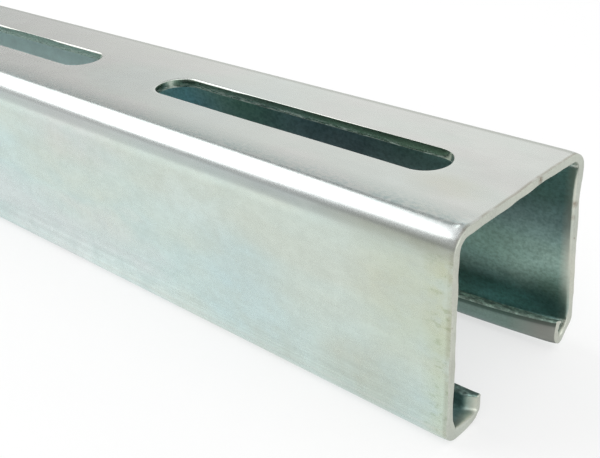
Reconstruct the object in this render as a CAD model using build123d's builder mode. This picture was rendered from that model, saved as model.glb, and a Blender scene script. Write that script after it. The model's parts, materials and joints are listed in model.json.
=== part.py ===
"""Strut channel: one length of cold-rolled steel channel with in-turned lips and long slots in its back.

Lengths are in millimetres. X runs along the channel, Y across it and Z up. The channel lies on its
lips at Z = 0 with the slotted back on top, and the origin is at the middle of its footprint.
"""

import os

from build123d import *

# Section, as it leaves the rolls
width = 41.3
height = 41.3
thickness = 1.9
mouth_width = 22.2
lip_height = 5.2
back_bend_inner_radius = 2.0
lip_bend_inner_radius = 1.0
slit_edge_radius = 0.4

# Cut length, and the row of slots punched before rolling
length = 609.6
slot_length = 76.2
slot_width = 10.3
slot_pitch = 101.6
near_end_margin = 15.2
least_far_margin = 10.0

# How far a cut runs past the metal on each side
cut_overrun = 1.0

half_width = width / 2
half_mouth = mouth_width / 2
back_bend_radius = back_bend_inner_radius + thickness
lip_bend_radius = lip_bend_inner_radius + thickness

# As many whole slots as the length holds, counted from the near end at +X
slot_row_room = length - near_end_margin - slot_length - least_far_margin
slot_count = int(slot_row_room // slot_pitch) + 1
first_slot_x = length / 2 - near_end_margin - slot_length / 2
slot_row_centre_x = first_slot_x - (slot_count - 1) * slot_pitch / 2

with BuildPart() as strut_channel:
    # The strip's outer face, from one lip round the back to the other, thickened inwards
    with BuildSketch(Plane.YZ) as section:
        with BuildLine():
            FilletPolyline(
                (-half_mouth, lip_height),
                (-half_mouth, 0),
                (-half_width, 0),
                (-half_width, height),
                (half_width, height),
                (half_width, 0),
                (half_mouth, 0),
                (half_mouth, lip_height),
                radius=[
                    lip_bend_radius,
                    lip_bend_radius,
                    back_bend_radius,
                    back_bend_radius,
                    lip_bend_radius,
                    lip_bend_radius,
                ],
            )
            offset(amount=thickness, side=Side.RIGHT)
        make_face()
        # The strip's slit edges, rounded where the lips end
        lip_corners = section.vertices().filter_by_position(Axis.Y, lip_height, lip_height)
        fillet(lip_corners, radius=slit_edge_radius)
    extrude(amount=length / 2, both=True)

    # The slots along the middle of the back
    back_middle = Plane((slot_row_centre_x, 0, height - thickness / 2))
    with BuildSketch(back_middle):
        with GridLocations(slot_pitch, 0, slot_count, 1):
            SlotOverall(slot_length, slot_width)
    extrude(amount=thickness / 2 + cut_overrun, both=True, mode=Mode.SUBTRACT)

strut_channel.part.label = "strut_channel"
os.makedirs("parts", exist_ok=True)
export_step(strut_channel.part, "parts/strut_channel.step")
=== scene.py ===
import json
import math

import bmesh
import bpy
import numpy as np
from mathutils import Matrix, Vector, noise


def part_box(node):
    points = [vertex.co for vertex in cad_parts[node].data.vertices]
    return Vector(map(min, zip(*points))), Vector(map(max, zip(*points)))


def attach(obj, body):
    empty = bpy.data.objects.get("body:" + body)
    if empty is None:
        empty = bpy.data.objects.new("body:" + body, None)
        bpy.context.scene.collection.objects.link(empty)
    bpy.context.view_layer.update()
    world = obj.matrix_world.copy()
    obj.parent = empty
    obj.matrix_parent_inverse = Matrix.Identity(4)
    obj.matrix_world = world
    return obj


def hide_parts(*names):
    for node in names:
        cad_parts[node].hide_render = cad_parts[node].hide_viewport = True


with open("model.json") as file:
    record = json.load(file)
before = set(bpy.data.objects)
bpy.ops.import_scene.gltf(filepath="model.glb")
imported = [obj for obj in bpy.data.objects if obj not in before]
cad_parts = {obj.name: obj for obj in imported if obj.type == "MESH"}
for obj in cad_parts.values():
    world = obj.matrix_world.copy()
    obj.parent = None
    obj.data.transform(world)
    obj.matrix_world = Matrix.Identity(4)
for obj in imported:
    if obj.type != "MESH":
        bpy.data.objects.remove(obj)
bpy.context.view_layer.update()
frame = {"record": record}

# Lengths are in millimetres unless a name says metres. X runs along the channel, Z is up.
# The near end is the cut end at +X that the camera sees, and the near wall is the one at -Y.
MM = 0.001
box_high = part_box("strut_channel")[1]

# The section: overall sizes from the frame, the rest as rolled
HALF_LENGTH = box_high.x / MM
HALF_WIDTH = box_high.y / MM
HEIGHT = box_high.z / MM
THICKNESS = 1.9
HALF_MOUTH = 11.1
LIP_HEIGHT = 5.2
BACK_RADIUS = 3.9
LIP_RADIUS = 2.9
SLIT_RADIUS = 0.4
WEB_EDGE = HALF_WIDTH - BACK_RADIUS
WEB_DEPTH = 3.0

# The slots, from the record's bolt patterns
patterns = [m for m in frame["record"]["mounts"] if m["kind"] == "bolt_pattern"]
SLOT_RADIUS = patterns[0]["dims"]["hole_r_mm"]
SLOT_LENGTH = patterns[0]["dims"]["slot_length_mm"]
SLOT_STRAIGHT = SLOT_LENGTH / 2 - SLOT_RADIUS

# The rim that the punch rolls over outside a slot: full size, its share all round, and its noise
RIM_WIDTH = 0.50
RIM_DEPTH = 0.40
RIM_ANGLES = (90, 68, 45, 22, 0)
RIM_LEAST = 0.15
RIM_MORE = 0.35
RIM_CONTRAST = 1.6
RIM_PATCH_LENGTH = 30
RIM_PATCH_WIDTH = 6
RIM_SEED = 135.45

# Where the slots' far rims are rolled fully: distances behind the near end
ROLLED_RIMS = [(71.0, 89.0), (119.0, 140.0), (159.0, 175.0)]
ROLLED_RIM_FADE = 6

# The torn metal and the burr that the punch leaves inside a slot
TEAR_START = 1.1
TEAR_WIDTH = 0.14
BURR_HEIGHT = 0.07
BURR_SLOPE = 0.05
BURR_TOP = 0.13
BURR_FOOT = 0.3

# The cut ends: how the outside is dragged over, the inside rounded and the face left rough
END_BAND = 5.0
END_DISTANCES = (5.0, 4.0, 3.1, 2.4, 1.8, 1.35, 1.0, 0.8, 0.6, 0.42, 0.28, 0.18, 0.1, 0.045, 0.012, 0.0)
CUT_FROM = 0.28
DRAG_DEPTH = 0.28
DRAG_REACH = 1.2
OUTSIDE_ROUND = 0.18
TIP_ROUND = 0.36
INSIDE_ROUND = (0.95, 0.62)
LIP_INSIDE_ROUND = (4.2, 0.8)
END_LUMPS = 1.2
LUMP_SIZE = 4.5
LUMP_SEED = 4.1
END_ROUGHNESS = 0.07
SAWN_DEPTH = 0.2
SAWN_SIZE = 1.1
SAWN_SEED = 5

# The burr that the cut leaves in the corner between a wall and its flange
CORNER_BURR = 0.75
CORNER_BURR_REACH = 1.5
CORNER_BURR_RADIUS = 2.2
CORNER_BURR_FADE = 1.2

# The far wall, sprung out at the near end, with its foot pushed up and its lip pushed out
FLARE_TOP = 32.0
FLARE_CURVE = 1.3
FLARE_OUT = 2.4
FLARE_REACH = 90.0
LIP_PUSH = 1.6
CORNER_LIFT = 3.0
LIP_LIFT = 1.7
LIFT_REACH = 12.0
FOOT_TOP = 6
FOOT_FADE = 10

# How far across its flange the lip's own movement starts, and over how much it grows
LIP_MOVE_START = 0.22
LIP_MOVE_SPAN = 0.56

# The far lip's lean: towards the mouth along the sprung length, away from it at the cut
LEAN_IN = 0.9
LEAN_IN_REACH = 60.0
LEAN_OUT = 2.6
LEAN_OUT_REACH = 8.0

# How much taller the far lip stands behind the cut, where less of the strip went into its flange
LIP_RISE = 1.2
LIP_RISE_START = 6.0
LIP_RISE_REACH = 80.0

# The near lip at that end stands a little further in and higher
NEAR_LIP_PUSH = 0.8
NEAR_LIP_LIFT = 0.35

# Its inside is ground off towards the cut: depth at the cut, length, and how it ends below and behind
LIP_BEVEL_DEPTH = 1.0
LIP_BEVEL_LENGTH = 2.4
LIP_BEVEL_FOOT = 1.2
LIP_BEVEL_MARGIN = 1
LIP_BEVEL_FADE = 1.5

# How far the far side of the back stands up at that end, and over how much of the section
BACK_RISE = 0.5
BACK_RISE_REACH = 140.0
BACK_RISE_HALF_WIDTH = 9
BACK_RISE_DEPTH = 14
BACK_RISE_FADE = 12

# A knock at the near corner of the cut
KNOCK_BEHIND = 1.3
KNOCK_ACROSS = -16.75
KNOCK_RADIUS = 1.2
KNOCK_HEIGHT = 0.35
KNOCK_DEPTH = 1.5

# How the flat back eases into its near bend
EASE_WIDTH = 7.0
EASE_DROP = 0.22
EASE_LIMIT = 1.3
EASE_DEPTH = 9
EASE_FADE = 7

# Slight waves of the rolled sheet, and the margins they leave at the bends
WAVE_HEIGHT = 0.07
WAVE_LENGTH = 55.0
WAVE_WIDTH = 30
WALL_WAVE_FOOT = 2
WALL_WAVE_FADE = 12
WALL_WAVE_SEED = 7.3
WEB_WAVE_FADE = 10
WEB_WAVE_SEED = 2.6

# Where painted shade darkens the lips' faces: under the slit edge, and where they turn under
LIP_SHADE_TOP = 3.7
LIP_SHADE_TOP_FADE = 0.6
LIP_SHADE_FOOT = 1.2
LIP_SHADE_FOOT_FADE = 0.8

# How far wear reaches from an edge, and how much of it shows
WEAR_REACH = 0.7
WEAR_MARGIN = 0.1
WEAR_SHARE = 0.2

# How finely each form is divided
BACK_BEND_STEPS = 10
LIP_BEND_STEPS = 8
WALL_STEPS = 18
FLANGE_STEPS = 3
LIP_STEPS = 6
SLIT_EDGE_POINTS = 5
CUT_FACE_STEPS = 4
SLOT_STRAIGHT_STEPS = 16
SLOT_END_SIDE_STEPS = 6
SLOT_END_CROSS_STEPS = 24
SPOKE_SHARES = (1.0, 0.85, 0.68, 0.48, 0.28, 0.13, 0.04)
RIM_OUTSIDE_STEPS = 3
SHARP_DEGREES = 50

# Material of each region of the mesh
OUTSIDE = 0
INSIDE = 1
CUT = 2
PUNCHED = 3
SLIT = 4
LIP = 5

# A region of the section's outline that is rounded in its own way at the cut
LIP_INSIDE = 6

# Noise that the finish is made of: size of its features along each axis, detail, and seed
CLOUDS = ((70, 28, 24), 3.0, 0.0)
MOTTLE = ((7, 5, 5), 4.0, 3.1)
GRAIN = ((0.45, 0.4, 0.4), 2.0, 1.7)
LINES = ((150, 0.7, 0.7), 2.0, 5.3)
MARK_DOTS = ((1.9, 1.2, 1.2), 2.0, 9.2)
WALL_FLECKS = ((2.2, 1.4, 1.4), 3.0, 6.7)
WALL_SPECKS = ((1.3, 0.9, 0.9), 2.0, 8.4)
WEB_FLECKS = ((0.9, 0.55, 0.55), 2.0, 2.9)
INNER_FLECKS = ((0.9, 0.65, 0.65), 2.0, 7.7)
TORN_STREAKS = ((2.2, 2.2, 0.28), 2.0, 4.4)
SLIT_SPECKS = ((1.3, 0.7, 0.7), 2.0, 6.1)
NOISE_ROUGHNESS = 0.55
BUMP_DEPTH = 0.02
LINE_BUMP = 0.3

# Tones of each surface, four to drift between
CLOUD_PLACES = (0.34, 0.46, 0.54, 0.66)
WALL_TONES = [(0.63, 0.69, 0.62), (0.62, 0.72, 0.675), (0.605, 0.735, 0.715), (0.66, 0.73, 0.72)]
WEB_TONES = [(0.635, 0.655, 0.61), (0.645, 0.655, 0.625), (0.625, 0.66, 0.62), (0.625, 0.67, 0.64)]
INNER_TONES = [(0.37, 0.51, 0.44), (0.35, 0.51, 0.46), (0.335, 0.49, 0.475), (0.325, 0.47, 0.495)]
CUT_TONES = [(0.62, 0.63, 0.545), (0.61, 0.635, 0.56), (0.59, 0.62, 0.55), (0.58, 0.62, 0.57)]
PUNCHED_TONES = [(0.56, 0.63, 0.46), (0.51, 0.61, 0.48), (0.48, 0.59, 0.50), (0.50, 0.57, 0.50)]
# The lips' tones are dark as painted shade, standing in for the shaded floor they reflect
LIP_SHADED_TONES = [(0.22, 0.30, 0.255), (0.205, 0.30, 0.265), (0.195, 0.29, 0.275), (0.21, 0.28, 0.265)]
SLIT_TONES = [(0.42, 0.54, 0.45), (0.40, 0.54, 0.47), (0.38, 0.52, 0.48), (0.37, 0.50, 0.49)]

# Depths under the top at which the wall's tones start to turn into the back's, and have turned
BACK_TONE_START = 6
BACK_TONE_FULL = 1

# Single tones that a surface goes over to
# Painted highlight: a paler tone over the back's bends, where the lamp's band lies
BEND_HIGHLIGHT_TONE = (0.76, 0.80, 0.80)
# Painted shade: dull tones for bands beside the back's bends, standing in for dim reflections there
SHADE_BAND_TONE = (0.26, 0.28, 0.22)
FAR_SHADE_BAND_TONE = (0.26, 0.30, 0.31)
WEB_SHADE_BAND_TONE = (0.28, 0.40, 0.40)
WORN_TONE = (0.76, 0.76, 0.72)
# Painted light: the inside's bright tone far from the cuts
INSIDE_LIT_TONE = (0.86, 1.0, 0.99)
# The torn streaks' tone, which the far slots' walls also go over to as painted light
TORN_AND_LIT_TONE = (0.74, 0.84, 0.78)
# The lips' tone by the cut, set with their painted shade
LIP_END_TONE = (0.255, 0.265, 0.24)
MARK_TONE = (0.20, 0.14, 0.09)

# Tints that multiply a surface's tone
PALE_LINE_TINT = (1.09, 1.09, 1.09)
STRAW_TINT = (0.96, 0.93, 0.82)
BURNT_TINT = (0.79, 0.765, 0.735)
SPECK_TINT = (0.80, 0.82, 0.76)
# The back's dark line by the cut: partly brown stain, partly painted shadow of the burr
WEB_CUT_STAIN_AND_SHADE_TINT = (0.62, 0.59, 0.53)
LIP_SHADE_TINT = (0.36, 0.41, 0.39)
WALL_FLECK_TINTS = [(0.36, (0.97, 0.972, 0.97)), (0.5, (0.995, 1.0, 1.0)), (0.64, (1.015, 1.02, 1.022))]
INNER_FLECK_TINTS = [(0.36, (0.82, 0.85, 0.83)), (0.5, (0.98, 1.0, 0.99)), (0.64, (1.10, 1.12, 1.12))]
DRAWN_TINTS = [(0.38, 0.96), (0.62, 1.03)]
SLIT_SPECK_TINTS = [(0.4, 0.6), (0.52, 0.85), (0.62, 1.35)]

# The wall's painted shade band under the back's bend, standing in for the dim reflection there, and the
# painted pale line under it: shares by height, and by distance behind the near end
WALL_SHADE_NEAR = [
    (32.5, 0.0), (34.0, 0.08), (35.2, 0.18), (36.2, 0.38), (37.0, 0.7), (37.5, 0.86),
    (38.0, 1.0), (38.5, 0.72), (39.0, 0.34), (39.5, 0.16), (40.0, 0.0),
]
WALL_SHADE_FAR = [
    (35.8, 0.0), (36.4, 0.55), (36.9, 0.9), (37.6, 1.0), (38.2, 0.9), (38.6, 0.3), (39.1, 0.0),
]
WALL_SHADE_CHANGE = [(0, 0.0), (18, 0.0), (34, 1.0), (110, 1.0)]
WALL_SHADE_GAIN = [(0, 0.85), (35, 0.62), (58, 0.48), (80, 0.38), (105, 0.44), (110, 0.44)]
PALE_LINE = [(34.2, 0.0), (35.0, 0.8), (35.6, 1.0), (36.1, 0.6), (36.4, 0.0)]

# The faint bright line at the wall's foot and the heights its drawn lines fade in between
FOOT_LINE = [(2.5, 0.0), (3.0, 1.0), (3.1, 1.0), (3.5, 0.0)]
DRAWN_HEIGHTS = (12, 5)

# The back's painted shade band by the near bend, standing in for the dim reflection beside the highlight:
# shares by distance from the middle towards the near wall
WEB_SHADE_BAND = [(12.0, 0.0), (14.5, 0.45), (16.6, 1.0), (17.6, 0.6), (18.3, 0.0)]

# How strong the inside's pale edge along the cut is at each height: the cut's colour on its rounded edge,
# made stronger low and high as painted light falling in at the cut
PALE_EDGE = [(0.0, 1.0), (5.2, 1.0), (6.5, 0.4), (9.0, 0.4), (20.0, 1.0)]

# Bands along the cuts: distances from the cut at which each starts and is full
WEB_CUT_BAND = (0.85, 0.5)
STRAW_BAND = (6.0, 2.0)
BURNT_BAND = (1.3, 0.7)
SPECK_BAND = (7.0, 1.5)
PALE_BAND = (2.6, 0.5)
LIP_END_BAND = (10, 3)
MARK_BAND = (1.0, 0.3)

# Heights over which the inside turns rougher at its foot
LOW_INSIDE = (16, 9)

# Distances from the cuts over which painted light makes the inside and the slots' walls turn brighter,
# standing in for light that reaches far inside
LIT_DEEP_INSIDE = (122, 145)
LIT_DEEP_PUNCHED = (112, 124)
LIT_DEEP_PUNCHED_SHARE = 0.7

# Large brown marks on the cut at the near end: Y and Z, and their size
CUT_MARKS = [(4.8, 41.1), (15.0, 39.6), (18.9, 31.0), (18.5, 28.2)]
CUT_MARK_SIZE = (1.2, 1.0, 1.0)

# Patches of colour by the near end: place from the near end's foot, size, and what they multiply
PATCHES = [
    ((-45, -HALF_WIDTH, 8), (22, 12, 10), (0.96, 1.02, 1.08)),
    ((-48, -HALF_WIDTH, 19), (15, 12, 10), (0.92, 0.97, 1.02)),
    ((-62, -HALF_WIDTH, 28), (16, 12, 8), (1.02, 1.05, 1.09)),
    ((-95, -HALF_WIDTH, 18), (30, 12, 10), (1.04, 0.99, 0.95)),
    # Painted light: a brighter band low on the near wall, standing in for light from the floor under it
    ((-92, -HALF_WIDTH, 3.5), (42, 12, 6.5), (1.15, 1.10, 1.10)),
    ((-100, -HALF_WIDTH, 34), (22, 12, 9), (1.03, 0.97, 1.0)),
    ((-8, -HALF_WIDTH, 27), (15, 12, 17), (0.94, 0.91, 0.83)),
    ((-16, -HALF_WIDTH, 7), (16, 12, 10), (0.90, 0.85, 0.80)),
    ((-11, -7, HEIGHT), (9, 5, 5), (0.97, 0.94, 0.89)),
]
PATCH_CORE = 0.7

# Patches on the far wall's inside, partly tints and partly painted light and shade that stand in for its
# reflections: three seen through the first slot, four near the cut
INNER_TINT_AND_SHADE_PATCHES = [
    ((-108, HALF_WIDTH, 29), (16, 8, 12), (0.72, 1.00, 1.22)),
    ((-84, HALF_WIDTH, 30), (16, 8, 12), (0.74, 0.88, 0.76)),
    ((-54, HALF_WIDTH, 30), (22, 8, 10), (0.79, 0.74, 0.76)),
    ((-3.5, HALF_WIDTH - 1, 11), (8, 8, 6), (0.49, 0.56, 0.54)),
    ((-14, HALF_WIDTH - 1, 6), (18, 8, 5.5), (1.14, 1.26, 1.34)),
    ((-6, HALF_WIDTH - 1, 34), (18, 8, 9), (1.10, 1.15, 1.15)),
    ((-22, HALF_WIDTH - 1, 17), (17, 8, 10), (0.61, 0.68, 0.66)),
]

# The floor, and the share of its white that shines by itself
FLOOR_HALF_SIDE_METRES = 8.0
FLOOR_TONE = 0.95
FLOOR_SHINE = 0.62

# Tones of the studio tent by heading in degrees from +X, by height, and by climb to the upper left
HEADING_TONES = (
    (-180, 0.52), (-150, 0.58), (-122, 0.42), (-90, 0.50), (-30, 0.75), (30, 0.90),
    (118, 0.92), (135, 0.93), (141, 0.87), (148, 0.74), (160, 0.56), (180, 0.50),
)
HEIGHT_TONES = ((0.12, 0.85), (0.27, 1.0), (0.6, 1.0), (0.9, 0.8))
CLIMB_TONES = ((0.3, 1.0), (0.42, 0.95), (0.55, 0.60), (0.66, 0.37), (0.85, 0.34))
CLIMB_WAY = (-0.72, 0.0, 1.0)
CLIMB_RANGE = (0.7, 1.2)
LEVEL_TONE = 0.86
LEVEL_RANGE = (0.14, 0.0)
OVERHEAD_TONE = 0.6
OVERHEAD_RANGE = (0.75, 0.95)
TENT_STRENGTH = 1.16

# Softboxes: name, direction from the channel, distance, width and height in metres, and radiance
SOFTBOXES = (
    ("left_panel", (-0.722, -0.173, 0.670), 1.4, 1.55, 1.11, 1.9),
    ("right_fill", (0.627, -0.527, 0.574), 1.4, 1.5, 1.1, 1.3),
)
LAMP_AIM = 0.7

# The camera: place from the middle of the near end's foot, direction in degrees, and lens
CAMERA_PLACE = (70.389, -129.389, 109.588)
CAMERA_AZIMUTH = 43.31
CAMERA_ELEVATION = 27.43
CAMERA_ROLL = -2.50
CAMERA_LENS = 57.52
CAMERA_SENSOR = 36.0
CAMERA_CLIP_METRES = 0.005

# Faces of the mesh as they are made: corners, and the material of their region
faces = []


def eased_share(value):
    """A value, or an array of them, held to 0 to 1 and eased at both ends."""
    held = np.clip(value, 0, 1)
    return held * held * (3 - 2 * held)


def unit(degrees):
    """The two parts of a step of length one at an angle."""
    turn = math.radians(degrees)
    return math.cos(turn), math.sin(turn)


def add_grid(rows, materials):
    """Quads between neighbouring rows of points, with a material for each step along a row."""
    for row, following in zip(rows, rows[1:]):
        for k in range(len(row) - 1):
            corners = (row[k], row[k + 1], following[k + 1], following[k])
            faces.append((corners, materials[k]))


def bend(centre, radius, start, end, steps):
    """Stations round an outer bend after its start: point and outward direction."""
    stations = []
    for degrees in np.linspace(start, end, steps + 1)[1:]:
        c, s = unit(degrees)
        stations.append((centre[0] + radius * c, centre[1] + radius * s, c, s))
    return stations


def flat(start, end, outward, steps):
    """Stations along a flat after its start: point and outward direction."""
    stations = []
    for f in np.linspace(0, 1, steps + 1)[1:]:
        y = start[0] + (end[0] - start[0]) * f
        z = start[1] + (end[1] - start[1]) * f
        stations.append((y, z, outward[0], outward[1]))
    return stations


def side_stations():
    """The outer face of one side, from the web's edge down the wall and round to the lip's end."""
    bottom = HALF_WIDTH - LIP_RADIUS
    mouth = HALF_MOUTH + LIP_RADIUS
    stations = [(WEB_EDGE, HEIGHT, 0.0, 1.0)]
    stations += bend((WEB_EDGE, HEIGHT - BACK_RADIUS), BACK_RADIUS, 90, 0, BACK_BEND_STEPS)
    stations += flat((HALF_WIDTH, HEIGHT - BACK_RADIUS), (HALF_WIDTH, LIP_RADIUS), (1, 0), WALL_STEPS)
    stations += bend((bottom, LIP_RADIUS), LIP_RADIUS, 0, -90, LIP_BEND_STEPS)
    stations += flat((bottom, 0), (mouth, 0), (0, -1), FLANGE_STEPS)
    stations += bend((mouth, LIP_RADIUS), LIP_RADIUS, -90, -180, LIP_BEND_STEPS)
    lip_top = LIP_HEIGHT - SLIT_RADIUS
    stations += flat((HALF_MOUTH, LIP_RADIUS), (HALF_MOUTH, lip_top), (-1, 0), LIP_STEPS)
    return stations


def lip_end():
    """Points over the rounded slit edge at the lip's end, each with its way into the metal."""
    points = []
    level = LIP_HEIGHT - SLIT_RADIUS
    for centre, start, end in (
        (HALF_MOUTH + SLIT_RADIUS, 180, 90),
        (HALF_MOUTH + THICKNESS - SLIT_RADIUS, 90, 0),
    ):
        for degrees in np.linspace(start, end, SLIT_EDGE_POINTS):
            c, s = unit(degrees)
            points.append((centre + SLIT_RADIUS * c, level + SLIT_RADIUS * s, -c, -s))
    return points[1:-1]


def mirrored(outline):
    """The same outline on the other side of the channel."""
    return [(-y, z, -into_y, into_z) for y, z, into_y, into_z in outline]


def cells():
    """Each slot's centre with the two X limits of the strip of web it stands in."""
    centres = []
    for pattern in patterns:
        middle = pattern["pos_m"][0] / MM
        half_pitch = pattern["dims"]["spacing_x_mm"] / 2
        centres += [middle + half_pitch, middle - half_pitch]
    centres.sort(reverse=True)
    between = [(a + b) / 2 for a, b in zip(centres, centres[1:])]
    edge = HALF_LENGTH - END_BAND
    limits = [edge] + between + [-edge]
    return list(zip(centres, limits, limits[1:]))


def cell_lines(cell):
    """X of the cross lines through a cell, from its near limit to its far one."""
    centre, near, far = cell
    first = np.linspace(near, centre + SLOT_STRAIGHT, SLOT_END_SIDE_STEPS + 1)
    middle = np.linspace(centre + SLOT_STRAIGHT, centre - SLOT_STRAIGHT, SLOT_STRAIGHT_STEPS + 1)
    last = np.linspace(centre - SLOT_STRAIGHT, far, SLOT_END_SIDE_STEPS + 1)
    return [*first, *middle[1:], *last[1:]]


def cross_points():
    """Y of the points across the web at a cell's limit."""
    return np.linspace(-WEB_EDGE, WEB_EDGE, SLOT_END_CROSS_STEPS + 1)


def end_spokes(centre_x, limit, lines, start):
    """Spokes of one round slot end: slot edge, its way into the metal, and the cell's border."""
    side = 1 if start == 90 else -1
    border = [(x, side * WEB_EDGE) for x in lines]
    across = cross_points() if side < 0 else cross_points()[::-1]
    border += [(limit, y) for y in across[1:]]
    border += [(x, -side * WEB_EDGE) for x in lines[::-1][1:]]
    spokes = []
    for degrees, target in zip(np.linspace(start, start + 180, len(border)), border):
        c, s = unit(degrees)
        edge = (centre_x + SLOT_RADIUS * c, SLOT_RADIUS * s)
        spokes.append((edge, (c, s), target))
    return spokes


def cell_spokes(cell):
    """Spokes all round a slot, in order."""
    centre, near, far = cell
    lines = cell_lines(cell)
    n = SLOT_END_SIDE_STEPS
    straight = lines[n:-n]
    spokes = []
    for x in straight[:-1]:
        spokes.append(((x, SLOT_RADIUS), (0, 1), (x, WEB_EDGE)))
    spokes += end_spokes(centre - SLOT_STRAIGHT, far, lines[-n - 1:], 90)
    for x in straight[::-1][1:-1]:
        spokes.append(((x, -SLOT_RADIUS), (0, -1), (x, -WEB_EDGE)))
    spokes += end_spokes(centre + SLOT_STRAIGHT, near, lines[n::-1], 270)[:-1]
    return spokes


def rim_share(x, y):
    """How much of the full rolled rim the punch left at a place on a slot's edge."""
    uneven = noise.noise(Vector((x / RIM_PATCH_LENGTH, y / RIM_PATCH_WIDTH, RIM_SEED)))
    share = RIM_LEAST + RIM_MORE * eased_share(0.5 + RIM_CONTRAST * uneven)
    behind = HALF_LENGTH - x
    for start, end in ROLLED_RIMS:
        if y > 0.5 * SLOT_RADIUS:
            inside = min(behind - start, end - behind)
            share = max(share, eased_share(0.5 + inside / ROLLED_RIM_FADE))
    return share


def slot_profile(rim):
    """How far from the slot's edge, and how deep, a spoke runs from outside face to inside face."""
    profile = []
    for degrees in RIM_ANGLES:
        c, s = unit(degrees)
        profile.append((rim * RIM_WIDTH * (1 - c), rim * RIM_DEPTH * (1 - s)))
    profile.append((0.0, TEAR_START))
    profile.append((TEAR_WIDTH, THICKNESS - BURR_SLOPE))
    profile.append((TEAR_WIDTH + BURR_SLOPE, THICKNESS + BURR_HEIGHT))
    profile.append((TEAR_WIDTH + BURR_TOP, THICKNESS + BURR_HEIGHT))
    profile.append((TEAR_WIDTH + BURR_FOOT, THICKNESS))
    return profile


def spoke_points(spoke):
    """Points along one spoke: over the web's outside, down the slot's wall, out along its inside."""
    (edge_x, edge_y), (out_x, out_y), (target_x, target_y) = spoke
    profile = slot_profile(rim_share(edge_x, edge_y))
    runs = ((profile[0][0], 0.0, SPOKE_SHARES), (profile[-1][0], THICKNESS, SPOKE_SHARES[::-1]))
    flats = []
    for gap, depth, shares in runs:
        rim_x = edge_x + gap * out_x
        rim_y = edge_y + gap * out_y
        row = []
        for f in shares:
            x = rim_x + (target_x - rim_x) * f
            y = rim_y + (target_y - rim_y) * f
            row.append((x, y, HEIGHT - depth))
        flats.append(row)
    wall = [(edge_x + g * out_x, edge_y + g * out_y, HEIGHT - d) for g, d in profile]
    return flats[0] + wall + flats[1]


def add_web():
    """The flat back with its slots."""
    wall_steps = len(slot_profile(1.0)) - 1 - RIM_OUTSIDE_STEPS
    materials = [OUTSIDE] * (len(SPOKE_SHARES) + RIM_OUTSIDE_STEPS)
    materials += [PUNCHED] * wall_steps
    materials += [INSIDE] * len(SPOKE_SHARES)
    for cell in cells():
        rows = [spoke_points(spoke) for spoke in cell_spokes(cell)]
        add_grid(rows + rows[:1], materials)


def add_sides(outlines, materials):
    """Both walls with their bends, flanges and lips, along the whole length."""
    lines = []
    for cell in cells():
        lines += cell_lines(cell)[0 if not lines else 1:]
    for outline in outlines:
        rows = [[(x, y, z) for y, z, _, _ in outline] for x in lines]
        add_grid(rows, materials)


def round_inset(distance, along, deep):
    """How far a rounded edge lies below its face, at a distance from the cut."""
    if distance >= along:
        return 0.0
    return deep * (1 - math.sqrt(1 - ((along - distance) / along) ** 2))


def end_inset(region, distance):
    """How far a region of the outline lies in at a distance from the cut."""
    if region == INSIDE:
        return round_inset(distance, *INSIDE_ROUND)
    if region == LIP_INSIDE:
        return round_inset(distance, *LIP_INSIDE_ROUND)
    if region == SLIT:
        return round_inset(distance, TIP_ROUND, TIP_ROUND)
    dragged = DRAG_DEPTH * math.exp(-distance / DRAG_REACH) * (1 - distance / END_BAND)
    return dragged + round_inset(distance, OUTSIDE_ROUND, OUTSIDE_ROUND)


def lump_share(y, z, end):
    """How much of the full rounding a saw leaves at a place on the cut's outline."""
    return 1 + END_LUMPS * noise.noise(Vector((y / LUMP_SIZE, z / LUMP_SIZE, LUMP_SEED * end)))


def worked_rows(outline, regions, end):
    """Rows that carry an outline along the last few millimetres to the cut."""
    rows = []
    for distance in END_DISTANCES:
        row = []
        for (y, z, into_y, into_z), region in zip(outline, regions):
            inset = end_inset(region, distance) * lump_share(y, z, end)
            row.append((end * (HALF_LENGTH - distance), y + inset * into_y, z + inset * into_z))
        rows.append(row)
    return rows


def add_worked(rows, materials):
    """The rows near a cut, in their own material up to the rounding and as cut from there."""
    last_plain = END_DISTANCES.index(CUT_FROM)
    add_grid(rows[:last_plain + 1], materials)
    add_grid(rows[last_plain:], [CUT] * len(materials))


def between_rows(first, last):
    """Rows evenly spaced across a cut face, from one row of points to another."""
    return np.linspace(first, last, CUT_FACE_STEPS + 1).tolist()


def add_side_end(end, outline, regions, materials, station_count):
    """One side's last few millimetres at an end, and its cut face."""
    rows = worked_rows(outline, regions, end)
    add_worked(rows, materials)
    rim = rows[-1]
    outer = rim[:station_count]
    inner = rim[-station_count:][::-1]
    across = between_rows(outer, inner)
    add_grid(across, [CUT] * station_count)
    tip = [row[-1] for row in across]
    faces.append((tuple(rim[station_count - 1:-station_count] + tip[::-1][:-1]), CUT))


def add_web_end(end):
    """The back's last few millimetres at an end, and its cut face."""
    outside = [(y, HEIGHT, 0.0, -1.0) for y in cross_points()]
    inside = [(y, HEIGHT - THICKNESS, 0.0, 1.0) for y in cross_points()]
    count = len(outside)
    outer_rows = worked_rows(outside, [OUTSIDE] * count, end)
    inner_rows = worked_rows(inside, [INSIDE] * count, end)
    add_worked(outer_rows, [OUTSIDE] * count)
    add_worked(inner_rows, [INSIDE] * count)
    add_grid(between_rows(outer_rows[-1], inner_rows[-1]), [CUT] * count)


def slot_distance(x, y):
    """How far a point of the web is from the nearest slot's edge."""
    nearest = np.full(x.shape, np.inf)
    for centre, _, _ in cells():
        along = np.maximum(np.abs(x - centre) - SLOT_STRAIGHT, 0)
        nearest = np.minimum(nearest, np.abs(np.hypot(along, y) - SLOT_RADIUS))
    return nearest


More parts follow.
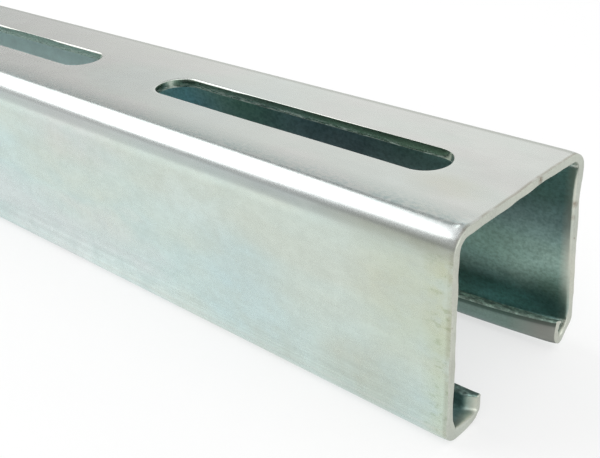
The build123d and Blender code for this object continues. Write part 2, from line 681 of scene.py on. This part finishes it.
def edge_share(p):
    """1 on a cut, punched or slit edge, falling to 0 about two millimetres from it."""
    x, y, z = p.T
    gap = HALF_LENGTH - np.abs(x)
    gap = np.where(z > HEIGHT - WEB_DEPTH, np.minimum(gap, slot_distance(x, y)), gap)
    lip = (z < LIP_HEIGHT + WEAR_MARGIN) & (np.abs(y) < HALF_MOUTH + THICKNESS + WEAR_MARGIN)
    gap = np.where(lip, np.minimum(gap, LIP_HEIGHT - z), gap)
    return np.exp(-np.maximum(gap, 0) / WEAR_REACH)


def painted_lip_shade_share(p):
    """Painted shade: 1 on a lip's face just under its slit edge and where it turns under, 0 between."""
    z = p[:, 2]
    under_edge = eased_share((z - LIP_SHADE_TOP) / LIP_SHADE_TOP_FADE)
    turned = eased_share((LIP_SHADE_FOOT - z) / LIP_SHADE_FOOT_FADE)
    return np.maximum(under_edge, turned)


def noise_at(points):
    """Smooth seeded noise, about -1 to 1, at each point."""
    return np.array([noise.noise(Vector(q)) for q in points])


def shifted(p, along=0.0, across=0.0, up=0.0):
    """Points moved along the channel, across it and up."""
    moves = np.zeros_like(p)
    moves[:, 0] = along
    moves[:, 1] = across
    moves[:, 2] = up
    return p + moves


def burred(p):
    """Points of the corners between walls and flanges drawn inwards at the cuts."""
    x, y, z = p.T
    to_y = np.sign(y) * (HALF_WIDTH - LIP_RADIUS) - y
    to_z = LIP_RADIUS - z
    in_corner = eased_share((CORNER_BURR_RADIUS - np.hypot(to_y, to_z)) / CORNER_BURR_FADE)
    share = CORNER_BURR * in_corner * np.exp(-(HALF_LENGTH - np.abs(x)) / CORNER_BURR_REACH)
    return shifted(p, across=share * to_y, up=share * to_z)


def bevelled(p):
    """Points of the near lip drawn towards its outer face where its inside is ground off."""
    x, y, z = p.T
    along = np.clip(1 - (HALF_LENGTH - x) / LIP_BEVEL_LENGTH, 0, 1)
    through = np.clip((-y - HALF_MOUTH) / THICKNESS, 0, 1)
    on_lip = np.clip((HALF_MOUTH + LIP_RADIUS + LIP_BEVEL_MARGIN + y) / LIP_BEVEL_FADE, 0, 1)
    above_flange = eased_share((z - LIP_BEVEL_FOOT) / LIP_BEVEL_FOOT) * (z < LIP_HEIGHT + LIP_BEVEL_MARGIN)
    return shifted(p, across=LIP_BEVEL_DEPTH * along * through * on_lip * above_flange)


def knocked(p):
    """Points of the outside raised where the near corner of the cut took a knock."""
    x, y, z = p.T
    gap = np.hypot(HALF_LENGTH - x - KNOCK_BEHIND, y - KNOCK_ACROSS)
    outside = z > HEIGHT - KNOCK_DEPTH
    return shifted(p, up=KNOCK_HEIGHT * eased_share(1 - gap / KNOCK_RADIUS) * outside)


def eased(p):
    """Points of the back lowered towards its near bend, so that no line shows there."""
    _, y, z = p.T
    toward = np.clip((-y - WEB_EDGE + EASE_WIDTH) / EASE_WIDTH, 0, EASE_LIMIT)
    top = np.clip((z - HEIGHT + EASE_DEPTH) / EASE_FADE, 0, 1)
    return shifted(p, up=-EASE_DROP * toward * toward * top)


def waved(p):
    """Points moved by the slight waves of rolled sheet, the same through its thickness."""
    x, y, z = p.T
    below_back = np.clip((HEIGHT - WEB_DEPTH - z) / WALL_WAVE_FADE, 0, 1)
    wall = below_back * np.clip((z - WALL_WAVE_FOOT) / WALL_WAVE_FADE, 0, 1)
    web = np.clip(z - HEIGHT + WEB_DEPTH, 0, 1) * np.clip((WEB_EDGE - np.abs(y)) / WEB_WAVE_FADE, 0, 1)
    wall_places = np.stack([x / WAVE_LENGTH, z / WAVE_WIDTH, np.sign(y) * WALL_WAVE_SEED], axis=1)
    web_places = np.stack([x / WAVE_LENGTH, y / WAVE_WIDTH, 0 * x + WEB_WAVE_SEED], axis=1)
    move_y = WAVE_HEIGHT * wall * noise_at(wall_places)
    move_z = WAVE_HEIGHT * web * noise_at(web_places)
    return shifted(p, across=move_y, up=move_z)


def foot_share(z):
    """1 at the lips' height and below, falling to 0 up the wall."""
    return np.clip(1 - (z - FOOT_TOP) / FOOT_FADE, 0, 1)


def far_wall_move(y, z, behind):
    """How far the sprung far wall, its flange and its lip move out and up."""
    sprung = np.exp(-behind / FLARE_REACH)
    raised = np.exp(-behind / LIFT_REACH)
    low = np.clip(1 - z / FLARE_TOP, 0, 1) ** FLARE_CURVE
    foot = foot_share(z)
    inward = (HALF_WIDTH - y) / (HALF_WIDTH - HALF_MOUTH)
    on_lip = eased_share((inward - LIP_MOVE_START) / LIP_MOVE_SPAN) * foot
    lean = LEAN_OUT * np.exp(-behind / LEAN_OUT_REACH) - LEAN_IN * np.exp(-behind / LEAN_IN_REACH)
    rise = LIP_RISE * np.exp(-behind / LIP_RISE_REACH) * (1 - np.exp(-behind / LIP_RISE_START))
    out = sprung * (FLARE_OUT * low + LIP_PUSH * on_lip) + lean * on_lip * z / LIP_HEIGHT
    up = raised * foot * (CORNER_LIFT + (LIP_LIFT - CORNER_LIFT) * on_lip)
    up = up - lean * on_lip * (y - HALF_MOUTH) / LIP_HEIGHT
    up = up + rise * on_lip * z / LIP_HEIGHT
    return out, up


def flared(p):
    """Points of the near end moved as it sprang: the far wall, the near lip and the back's far side."""
    x, y, z = p.T
    behind = HALF_LENGTH - x
    out, up = far_wall_move(y, z, behind)
    across_flange = eased_share((HALF_WIDTH + y) / (HALF_WIDTH - HALF_MOUTH))
    near_lip = across_flange * foot_share(z) * np.exp(-behind / FLARE_REACH)
    far_side = eased_share((y + BACK_RISE_HALF_WIDTH) / (2 * BACK_RISE_HALF_WIDTH))
    far_back = far_side * eased_share((z - HEIGHT + BACK_RISE_DEPTH) / BACK_RISE_FADE)
    far = y > 0
    move_y = np.where(far, out, NEAR_LIP_PUSH * near_lip)
    move_z = np.where(far, up, NEAR_LIP_LIFT * near_lip)
    move_z = move_z + BACK_RISE * far_back * np.exp(-behind / BACK_RISE_REACH)
    return shifted(p, across=move_y, up=move_z)


def roughened(p):
    """Points of the cut ends moved a little along X, as a saw leaves them."""
    x, y, z = p.T
    on_end = np.clip(1 - (HALF_LENGTH - np.abs(x)) / SAWN_DEPTH, 0, 1)
    fine = noise_at(np.stack([np.sign(x) * SAWN_SEED, y / SAWN_SIZE, z / SAWN_SIZE], axis=1))
    return shifted(p, along=-np.sign(x) * on_end * END_ROUGHNESS * (0.5 + fine))


def merged():
    """Unique points, and the faces as indices into them."""
    index = {}
    points = []
    loops = []
    for corners, _ in faces:
        loop = []
        for corner in corners:
            key = tuple(round(float(c), 4) for c in corner)
            if key not in index:
                index[key] = len(points)
                points.append(key)
            loop.append(index[key])
        loops.append(loop)
    return np.array(points), loops


def add_faces():
    """All faces of the channel: the back, both sides and both ends."""
    stations = side_stations()
    outer = [(y, z, -dy, -dz) for y, z, dy, dz in stations]
    inner = [(y - THICKNESS * dy, z - THICKNESS * dz, dy, dz) for y, z, dy, dz in stations]
    tip = lip_end()
    right = outer + tip + inner[::-1]
    outlines = (right, mirrored(right))
    count = len(stations)
    lip_steps = LIP_BEND_STEPS + LIP_STEPS
    materials = [OUTSIDE] * (count - 1 - lip_steps) + [LIP] * lip_steps
    materials += [SLIT] * (len(tip) + 1) + [INSIDE] * (count - 1)
    regions = [OUTSIDE] * count + [SLIT] * len(tip)
    regions += [LIP_INSIDE] * LIP_STEPS + [INSIDE] * (count - LIP_STEPS)
    add_web()
    add_sides(outlines, materials)
    for end in (1, -1):
        for outline in outlines:
            add_side_end(end, outline, regions, materials, count)
        add_web_end(end)


def turn_and_smooth(mesh):
    """Normals turned outwards, shading smooth except at sharp corners."""
    work = bmesh.new()
    work.from_mesh(mesh)
    bmesh.ops.recalc_face_normals(work, faces=work.faces)
    for face in work.faces:
        face.smooth = True
    work.to_mesh(mesh)
    work.free()
    mesh.set_sharp_from_angle(angle=math.radians(SHARP_DEGREES))


def channel_mesh():
    """The whole channel as one closed mesh."""
    add_faces()
    points, loops = merged()
    shaped = roughened(flared(waved(eased(knocked(bevelled(burred(points)))))))
    mesh = bpy.data.meshes.new("channel_skin")
    mesh.from_pydata((shaped * MM).tolist(), [], loops)
    mesh.polygons.foreach_set("material_index", [material for _, material in faces])
    # The mesh keeps wear along edges and the lips' painted shade
    for name, share in (("edge", edge_share), ("painted_lip_shade", painted_lip_shade_share)):
        kept = mesh.attributes.new(name, "FLOAT", "POINT")
        kept.data.foreach_set("value", share(points).astype(np.float32))
    turn_and_smooth(mesh)
    return mesh


def put(tree, socket, value):
    """A value set on a socket, or another socket linked to it."""
    if isinstance(value, bpy.types.NodeSocket):
        tree.links.new(value, socket)
    else:
        socket.default_value = value


def add_node(tree, kind, sockets=(), **settings):
    """A shader node with its settings and its unlinked or linked sockets."""
    node = tree.nodes.new(kind)
    for name, value in settings.items():
        setattr(node, name, value)
    for name, value in dict(sockets).items():
        put(tree, node.inputs[name], value)
    return node


def placed(tree, size, shift):
    """Object coordinates in units of a size along each axis, shifted."""
    where = add_node(tree, "ShaderNodeTexCoord").outputs["Object"]
    scale = [1 / (s * MM) for s in size]
    sockets = {"Vector": where, "Location": shift, "Scale": scale}
    return add_node(tree, "ShaderNodeMapping", sockets).outputs["Vector"]


def noise_field(tree, size, detail, seed):
    """A noise value with features of about the given size."""
    place = placed(tree, size, (seed, seed, seed))
    sockets = {"Vector": place, "Scale": 1.0, "Detail": detail, "Roughness": NOISE_ROUGHNESS}
    return add_node(tree, "ShaderNodeTexNoise", sockets).outputs[0]


def ramp(tree, value, stops):
    """Colours along a value."""
    node = add_node(tree, "ShaderNodeValToRGB", {"Fac": value})
    elements = node.color_ramp.elements
    while len(elements) < len(stops):
        elements.new(0.5)
    for element, (place, colour) in zip(elements, stops):
        element.position = place
        element.color = (*colour, 1)
    return node.outputs["Color"]


def grey_ramp(tree, value, stops):
    """Greys along a value."""
    return ramp(tree, value, [(place, (tone,) * 3) for place, tone in stops])


def mixed(tree, blend, factor, a, b):
    """Two colours put together."""
    node = add_node(tree, "ShaderNodeMix", data_type="RGBA", blend_type=blend, clamp_factor=True)
    for k, value in ((0, factor), (6, a), (7, b)):
        put(tree, node.inputs[k], (*value, 1) if isinstance(value, tuple) else value)
    return node.outputs[2]


def ranged(tree, value, low, high, start, end):
    """A value carried from one range to another, held at the ends."""
    sockets = {"Value": value, "From Min": low, "From Max": high, "To Min": start, "To Max": end}
    return add_node(tree, "ShaderNodeMapRange", sockets).outputs["Result"]


def maths(tree, operation, a, b=0.0):
    """One sum of two values."""
    node = add_node(tree, "ShaderNodeMath", operation=operation)
    put(tree, node.inputs[0], a)
    put(tree, node.inputs[1], b)
    return node.outputs[0]


def patch(tree, place, size):
    """1 at a place given from the near end's foot, falling to 0 at the size's distance along each axis."""
    centre = (HALF_LENGTH + place[0], place[1], place[2])
    moved = placed(tree, size, [-c / s for c, s in zip(centre, size)])
    ball = add_node(tree, "ShaderNodeTexGradient", {"Vector": moved}, gradient_type="SPHERICAL")
    return ranged(tree, ball.outputs["Fac"], 0, PATCH_CORE, 0, 1)


class Zinc:
    """One zinc plated surface: its material, and the noise and places that its looks are made of."""

    def __init__(self, name):
        self.material = bpy.data.materials.new(name)
        self.material.use_nodes = True
        self.tree = self.material.node_tree
        self.shader = self.tree.nodes["Principled BSDF"]
        self.shader.inputs["Metallic"].default_value = 1.0
        where = add_node(self.tree, "ShaderNodeTexCoord").outputs["Object"]
        apart = add_node(self.tree, "ShaderNodeSeparateXYZ", {"Vector": where})
        self.x = apart.outputs["X"]
        self.y = apart.outputs["Y"]
        self.z = apart.outputs["Z"]
        self.edge = add_node(self.tree, "ShaderNodeAttribute", attribute_name="edge").outputs["Fac"]
        # The lips' painted shade, kept on the mesh
        self.painted_lip_shade = add_node(self.tree, "ShaderNodeAttribute", attribute_name="painted_lip_shade").outputs["Fac"]
        self.clouds = noise_field(self.tree, *CLOUDS)
        self.mottle = noise_field(self.tree, *MOTTLE)
        self.grain = noise_field(self.tree, *GRAIN)
        self.lines = noise_field(self.tree, *LINES)

    def times(self, *values):
        """Several shares multiplied together."""
        total = values[0]
        for value in values[1:]:
            total = maths(self.tree, "MULTIPLY", total, value)
        return total

    def toned(self, colour, share, tone):
        """A colour gone over to a tone, as far as a share says."""
        return mixed(self.tree, "MIX", share, colour, tone)

    def tinted(self, colour, share, tint):
        """A colour multiplied by a tint, as far as a share says."""
        return mixed(self.tree, "MULTIPLY", share, colour, tint)

    def field(self, kind, low, high, start, end):
        """A share that follows one kind of noise."""
        return ranged(self.tree, noise_field(self.tree, *kind), low, high, start, end)

    def cloudy(self, tones):
        """Passivate colours that drift over the surface."""
        return ramp(self.tree, self.clouds, list(zip(CLOUD_PLACES, tones)))

    def textured(self, colour, mottle, grain, lines):
        """A colour with its patches, grain and drawn lines, each down to its own darkest share."""
        for field, darkest in ((self.mottle, mottle), (self.grain, grain), (self.lines, lines)):
            shade = grey_ramp(self.tree, field, [(0.35, darkest), (0.65, 1.0)])
            colour = self.tinted(colour, 1.0, shade)
        return colour

    def uneven(self, low, high, start, end):
        """A share that follows the surface's mottle."""
        return ranged(self.tree, self.mottle, low, high, start, end)

    def rise(self, low, high, start=0, end=1):
        """A share that runs between two heights."""
        return ranged(self.tree, self.z, low * MM, high * MM, start, end)

    def from_cut(self, start, full):
        """0 at one distance from the nearer cut end and 1 at another, held beyond both."""
        from_middle = maths(self.tree, "ABSOLUTE", self.x)
        limits = ((HALF_LENGTH - start) * MM, (HALF_LENGTH - full) * MM)
        return ranged(self.tree, from_middle, *limits, 0, 1)

    def run(self, value, table, origin=0, way=1):
        """A table's shares at its places along a value, counted from an origin one way or the other."""
        low = table[0][0]
        high = table[-1][0]
        along = ranged(self.tree, value, (origin + way * low) * MM, (origin + way * high) * MM, 0, 1)
        return grey_ramp(self.tree, along, [((place - low) / (high - low), share) for place, share in table])

    def by_height(self, table):
        """Shares by height."""
        return self.run(self.z, table)

    def by_distance(self, table):
        """Shares by distance behind the near end."""
        return self.run(self.x, table, HALF_LENGTH, -1)

    def marked(self, colour, amount):
        """A colour with brown marks near the cut ends: a few large ones, and small uneven ones."""
        tree = self.tree
        dots = self.field(MARK_DOTS, 0.68, 0.76, 0, amount * 0.6)
        spots = self.times(self.from_cut(*MARK_BAND), dots)
        ragged = ranged(tree, self.grain, 0.35, 0.6, 0.2, amount)
        for y, z in CUT_MARKS:
            mark = self.times(patch(tree, (0, y, z), CUT_MARK_SIZE), ragged)
            spots = maths(tree, "MAXIMUM", spots, mark)
        return self.toned(colour, spots, MARK_TONE)

    def finish(self, colour, roughness, bump=0.07):
        """The colour, roughness and fine bump put on the shader."""
        tree = self.tree
        tree.links.new(colour, self.shader.inputs["Base Color"])
        if not isinstance(roughness, bpy.types.NodeSocket):
            roughness = ranged(tree, self.grain, 0.3, 0.7, roughness - 0.02, roughness + 0.02)
        rough = maths(tree, "ADD", roughness, self.uneven(0.35, 0.65, -0.015, 0.02))
        tree.links.new(rough, self.shader.inputs["Roughness"])
        height = maths(tree, "ADD", self.grain, self.times(self.lines, LINE_BUMP))
        sockets = {"Height": height, "Strength": bump, "Distance": BUMP_DEPTH * MM}
        normal = add_node(tree, "ShaderNodeBump", sockets).outputs["Normal"]
        tree.links.new(normal, self.shader.inputs["Normal"])
        return self.material


def outside_base(zinc, on_web, off_web):
    """The outside's drifting tones, its patches of colour, one of them painted light, its bends paled as a
    painted highlight, and its flecks.
    """
    tree = zinc.tree
    colour = mixed(tree, "MIX", on_web, zinc.cloudy(WALL_TONES), zinc.cloudy(WEB_TONES))
    # The patches tint the colour, and one of them lightens it as painted light
    for place, size, tint in PATCHES:
        share = zinc.times(patch(tree, place, size), zinc.uneven(0.3, 0.55, 0.4, 1))
        colour = zinc.tinted(colour, share, tint)
    # Painted highlight: the bends paled where the lamp's band lies
    from_centre = maths(tree, "ABSOLUTE", zinc.y)
    past_flat = ranged(tree, from_centre, (WEB_EDGE - 0.5) * MM, (WEB_EDGE + 1.5) * MM, 0, 1)
    in_bend = zinc.times(past_flat, zinc.rise(HEIGHT - 3.8, HEIGHT - 2, 0, 0.9))
    colour = zinc.toned(colour, in_bend, BEND_HIGHLIGHT_TONE)
    colour = zinc.textured(colour, mottle=0.93, grain=0.985, lines=0.985)
    flecks = ramp(tree, noise_field(tree, *WALL_FLECKS), WALL_FLECK_TINTS)
    return zinc.tinted(colour, off_web, flecks)


def wall_painted_shade(zinc, change):
    """Painted shade: a darker band on the wall under the back's bend, standing in for the dim reflection
    there, soft at the near end.
    """
    band = mixed(zinc.tree, "MIX", change, zinc.by_height(WALL_SHADE_NEAR), zinc.by_height(WALL_SHADE_FAR))
    return zinc.times(band, zinc.by_distance(WALL_SHADE_GAIN), zinc.uneven(0.3, 0.6, 0.7, 1))


def with_wall_shade_and_lines(zinc, colour):
    """A colour with the wall's painted shade band, the painted pale line under it, and the lines at its
    foot.
    """
    tree = zinc.tree
    change = zinc.by_distance(WALL_SHADE_CHANGE)
    # Painted shade: the band under the back's bend
    shade_band_tone = mixed(tree, "MIX", change, SHADE_BAND_TONE, FAR_SHADE_BAND_TONE)
    colour = zinc.toned(colour, wall_painted_shade(zinc, change), shade_band_tone)
    # Painted highlight: the pale line under that band
    pale_line = zinc.times(zinc.by_height(PALE_LINE), change)
    colour = zinc.tinted(colour, pale_line, PALE_LINE_TINT)
    drawn = grey_ramp(tree, zinc.lines, DRAWN_TINTS)
    colour = zinc.tinted(colour, zinc.rise(*DRAWN_HEIGHTS), drawn)
    foot_line = zinc.times(zinc.by_height(FOOT_LINE), zinc.uneven(0.3, 0.7, 0.12, 0.24))
    return zinc.toned(colour, foot_line, WORN_TONE)


def with_back_shade_bands(zinc, colour, on_web):
    """A colour with the back's painted shade lines, which stand in for dim reflections: a speckled one by
    the near bend, a thin one by the far.
    """
    on_top = zinc.rise(HEIGHT - 1.5, HEIGHT - 0.8)
    flecked = zinc.field(WEB_FLECKS, 0.4, 0.6, 0.35, 1.3)
    band = zinc.run(zinc.y, WEB_SHADE_BAND, way=-1)
    # Painted shade beside the near bend's highlight
    mark = zinc.times(band, on_top, flecked, zinc.uneven(0.35, 0.6, 0.2, 0.45))
    colour = zinc.toned(colour, mark, WEB_SHADE_BAND_TONE)
    # Painted shade along the far bend
    far_edge = ranged(zinc.tree, zinc.y, (WEB_EDGE - 0.5) * MM, (WEB_EDGE + 0.3) * MM, 0, 0.6)
    return zinc.toned(colour, zinc.times(far_edge, on_web), SHADE_BAND_TONE)


def with_cut_stains_and_shade(zinc, colour, on_web, off_web):
    """A colour with the stains beside the cuts: a dark line on the back, partly brown stain and partly
    painted shadow of the burr, and three bands on the walls.
    """
    ragged = zinc.uneven(0.34, 0.5, 0.25, 1)
    specks = zinc.field(WALL_SPECKS, 0.55, 0.68, 0, 1)
    for face, band, share, tint in (
        (on_web, WEB_CUT_BAND, ragged, WEB_CUT_STAIN_AND_SHADE_TINT),
        (off_web, STRAW_BAND, ragged, STRAW_TINT),
        (off_web, BURNT_BAND, ragged, BURNT_TINT),
        (off_web, SPECK_BAND, specks, SPECK_TINT),
    ):
        stain = zinc.times(face, zinc.from_cut(*band), share)
        colour = zinc.tinted(colour, stain, tint)
    return colour


def outside_zinc():
    """The strip's outer face: pale, with painted shade and a painted highlight by the bends, and stains and
    painted shadow at the cuts.
    """
    zinc = Zinc("zinc_outside")
    on_web = zinc.rise(HEIGHT - BACK_TONE_START, HEIGHT - BACK_TONE_FULL)
    off_web = maths(zinc.tree, "SUBTRACT", 1.0, on_web)
    colour = outside_base(zinc, on_web, off_web)
    colour = with_wall_shade_and_lines(zinc, colour)
    colour = with_back_shade_bands(zinc, colour, on_web)
    colour = with_cut_stains_and_shade(zinc, colour, on_web, off_web)
    colour = zinc.toned(colour, zinc.times(zinc.edge, WEAR_SHARE), WORN_TONE)
    return zinc.finish(zinc.marked(colour, amount=0.6), roughness=0.27, bump=0.035)


def inside_zinc():
    """The strip's inner face: greener, with painted light far from the cuts, patches that are partly painted
    light and shade, and a pale edge along the cuts that is partly painted light.
    """
    zinc = Zinc("zinc_inside")
    tree = zinc.tree
    colour = zinc.textured(zinc.cloudy(INNER_TONES), mottle=0.85, grain=0.88, lines=0.97)
    flecks = ramp(tree, noise_field(tree, *INNER_FLECKS), INNER_FLECK_TINTS)
    colour = zinc.tinted(colour, 1.0, flecks)
    # Tints, and painted light and shade, on the inside
    for place, size, tint in INNER_TINT_AND_SHADE_PATCHES:
        colour = zinc.tinted(colour, patch(tree, place, size), tint)
    # Painted light: the inside goes over to a bright tone far from the cuts
    deep = zinc.textured(INSIDE_LIT_TONE, mottle=0.88, grain=0.94, lines=1.0)
    far_in_lit = zinc.from_cut(*LIT_DEEP_INSIDE)
    colour = zinc.toned(colour, far_in_lit, deep)
    # Pale edge along the cut: cut colour on the rounding, partly painted light
    pale = zinc.times(zinc.from_cut(*PALE_BAND), zinc.uneven(0.3, 0.6, 0.75, 1), zinc.by_height(PALE_EDGE))
    colour = zinc.toned(colour, pale, CUT_TONES[0])
    low_roughness = zinc.rise(*LOW_INSIDE, 0.3, 0.45)
    deep_roughness = ranged(tree, far_in_lit, 0, 1, 0.3, 0.5)
    roughness = maths(tree, "MAXIMUM", low_roughness, deep_roughness)
    return zinc.finish(zinc.marked(colour, amount=0.8), roughness, bump=0.25)


def cut_zinc():
    """The cut faces: cream, with brown marks."""
    zinc = Zinc("zinc_cut_edge")
    colour = zinc.textured(zinc.cloudy(CUT_TONES), mottle=0.89, grain=0.91, lines=1.0)
    return zinc.finish(zinc.marked(colour, amount=0.8), roughness=0.52, bump=0.4)


def punched_zinc():
    """The slots' walls: smooth and dark where the punch sheared, with pale torn streaks below, and painted
    light on the walls of slots far from the cuts.
    """
    zinc = Zinc("zinc_punched")
    streaks = zinc.field(TORN_STREAKS, 0.5, 0.62, 0, 1)
    torn = zinc.times(zinc.rise(HEIGHT - 0.7, HEIGHT - 1.3), streaks)
    colour = zinc.textured(zinc.cloudy(PUNCHED_TONES), mottle=0.8, grain=0.85, lines=1.0)
    # Painted light: the walls of slots far from the cuts go most of the way to the torn tone
    deep = zinc.times(zinc.from_cut(*LIT_DEEP_PUNCHED), LIT_DEEP_PUNCHED_SHARE)
    colour = zinc.toned(colour, deep, TORN_AND_LIT_TONE)
    colour = zinc.toned(colour, torn, TORN_AND_LIT_TONE)
    return zinc.finish(colour, ranged(zinc.tree, torn, 0, 1, 0.22, 0.62))


def slit_zinc():
    """The slit edges at the lips' ends: rough and speckled."""
    zinc = Zinc("zinc_slit_edge")
    tree = zinc.tree
    colour = zinc.textured(zinc.cloudy(SLIT_TONES), mottle=0.8, grain=0.8, lines=1.0)
    shade = grey_ramp(tree, noise_field(tree, *SLIT_SPECKS), SLIT_SPECK_TINTS)
    colour = zinc.tinted(colour, 1.0, shade)
    return zinc.finish(colour, roughness=0.6, bump=0.8)


def lip_zinc():
    """The lips' faces: darker than the walls as painted shade, and duller."""
    zinc = Zinc("zinc_lip")
    colour = zinc.textured(zinc.cloudy(LIP_SHADED_TONES), mottle=0.86, grain=0.84, lines=0.95)
    colour = zinc.toned(colour, zinc.from_cut(*LIP_END_BAND), LIP_END_TONE)
    # Painted shade under the slit edge and where the lip turns under
    colour = zinc.tinted(colour, zinc.painted_lip_shade, LIP_SHADE_TINT)
    return zinc.finish(zinc.marked(colour, amount=0.7), roughness=0.4)


def floor_material():
    """White that keeps the object's shadow, with part of it shining for the rays that show it."""
    material = bpy.data.materials.new("white_floor")
    material.use_nodes = True
    tree = material.node_tree
    tree.nodes.remove(tree.nodes["Principled BSDF"])
    path = add_node(tree, "ShaderNodeLightPath")
    seen = maths(tree, "MAXIMUM", path.outputs["Is Camera Ray"], path.outputs["Is Glossy Ray"])
    seen = maths(tree, "MAXIMUM", seen, path.outputs["Is Transmission Ray"])
    share = maths(tree, "MULTIPLY", seen, FLOOR_SHINE)
    matt = add_node(tree, "ShaderNodeBsdfDiffuse", {"Color": (FLOOR_TONE, FLOOR_TONE, FLOOR_TONE, 1)})
    shine = add_node(tree, "ShaderNodeEmission", {"Color": (1, 1, 1, 1), "Strength": 1.0})
    both = add_node(tree, "ShaderNodeMixShader", {"Fac": share})
    tree.links.new(matt.outputs[0], both.inputs[1])
    tree.links.new(shine.outputs[0], both.inputs[2])
    tree.links.new(both.outputs[0], tree.nodes["Material Output"].inputs["Surface"])
    return material


def add_object(name, data):
    """An object put in the scene."""
    made = bpy.data.objects.new(name, data)
    bpy.context.scene.collection.objects.link(made)
    return made


def add_floor():
    """A plain level floor under the channel."""
    s = FLOOR_HALF_SIDE_METRES
    mesh = bpy.data.meshes.new("floor")
    mesh.from_pydata([(-s, -s, 0), (s, -s, 0), (s, s, 0), (-s, s, 0)], [], [(0, 1, 2, 3)])
    mesh.materials.append(floor_material())
    floor = add_object("floor", mesh)


def tent_light(tree):
    """The tent's tone in each direction."""
    way = add_node(tree, "ShaderNodeTexCoord").outputs["Generated"]
    apart = add_node(tree, "ShaderNodeSeparateXYZ", {"Vector": way})
    height = apart.outputs["Z"]
    heading = maths(tree, "ARCTAN2", apart.outputs["Y"], apart.outputs["X"])
    around = ranged(tree, heading, -math.pi, math.pi, 0, 1)
    heading_stops = [((degrees + 180) / 360, tone) for degrees, tone in HEADING_TONES]
    heading_tone = grey_ramp(tree, around, heading_stops)
    light = mixed(tree, "MULTIPLY", 1.0, heading_tone, grey_ramp(tree, height, HEIGHT_TONES))
    sockets = {0: way, 1: CLIMB_WAY}
    climb = add_node(tree, "ShaderNodeVectorMath", sockets, operation="DOT_PRODUCT").outputs["Value"]
    climb_tone = grey_ramp(tree, ranged(tree, climb, *CLIMB_RANGE, 0, 1), CLIMB_TONES)
    light = mixed(tree, "MULTIPLY", 1.0, light, climb_tone)
    level = ranged(tree, height, *LEVEL_RANGE, 0, 1)
    light = mixed(tree, "MIX", level, light, (LEVEL_TONE,) * 3)
    overhead = ranged(tree, height, *OVERHEAD_RANGE, 0, 1)
    return mixed(tree, "MIX", overhead, light, (OVERHEAD_TONE,) * 3)


def add_world():
    """A studio tent: bright behind and to the right, greyer to the left, in front and overhead."""
    world = bpy.data.worlds.new("studio")
    bpy.context.scene.world = world
    world.use_nodes = True
    tree = world.node_tree
    background = tree.nodes["Background"]
    tree.links.new(tent_light(tree), background.inputs["Color"])
    background.inputs["Strength"].default_value = TENT_STRENGTH


def add_softbox(name, toward, distance, width, height, radiance):
    """A rectangular lamp that faces the channel's near part from a direction, in metres."""
    lamp = bpy.data.lights.new(name, "AREA")
    lamp.shape = "RECTANGLE"
    lamp.size = width
    lamp.size_y = height
    lamp.energy = radiance * math.pi * width * height
    holder = add_object(name, lamp)
    way = Vector(toward).normalized()
    holder.location = Vector((HALF_LENGTH * MM * LAMP_AIM, 0, HEIGHT * MM)) + way * distance
    holder.rotation_euler = way.to_track_quat("Z", "Y").to_euler()


def add_camera():
    """The photo's view of the near end."""
    data = bpy.data.cameras.new("camera")
    data.lens = CAMERA_LENS
    data.sensor_width = CAMERA_SENSOR
    data.clip_start = CAMERA_CLIP_METRES
    placed_at = Vector(CAMERA_PLACE) + Vector((HALF_LENGTH, 0, 0))
    turned = Matrix.Translation(placed_at * MM)
    for degrees, axis in ((CAMERA_AZIMUTH, "Z"), (90 - CAMERA_ELEVATION, "X"), (CAMERA_ROLL, "Z")):
        turned = turned @ Matrix.Rotation(math.radians(degrees), 4, axis)
    camera = add_object("camera", data)
    camera.matrix_world = turned
    bpy.context.scene.camera = camera


# The channel, with its materials in the order of the regions' numbers
channel = add_object("channel_skin", channel_mesh())
for make in (outside_zinc, inside_zinc, cut_zinc, punched_zinc, slit_zinc, lip_zinc):
    channel.data.materials.append(make())
weighted = channel.modifiers.new("even_normals", "WEIGHTED_NORMAL")
weighted.keep_sharp = True
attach(channel, "root")
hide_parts("strut_channel")

# The studio
add_floor()
add_world()
for softbox in SOFTBOXES:
    add_softbox(*softbox)
add_camera()

scene = bpy.context.scene
scene.view_settings.view_transform = "Standard"
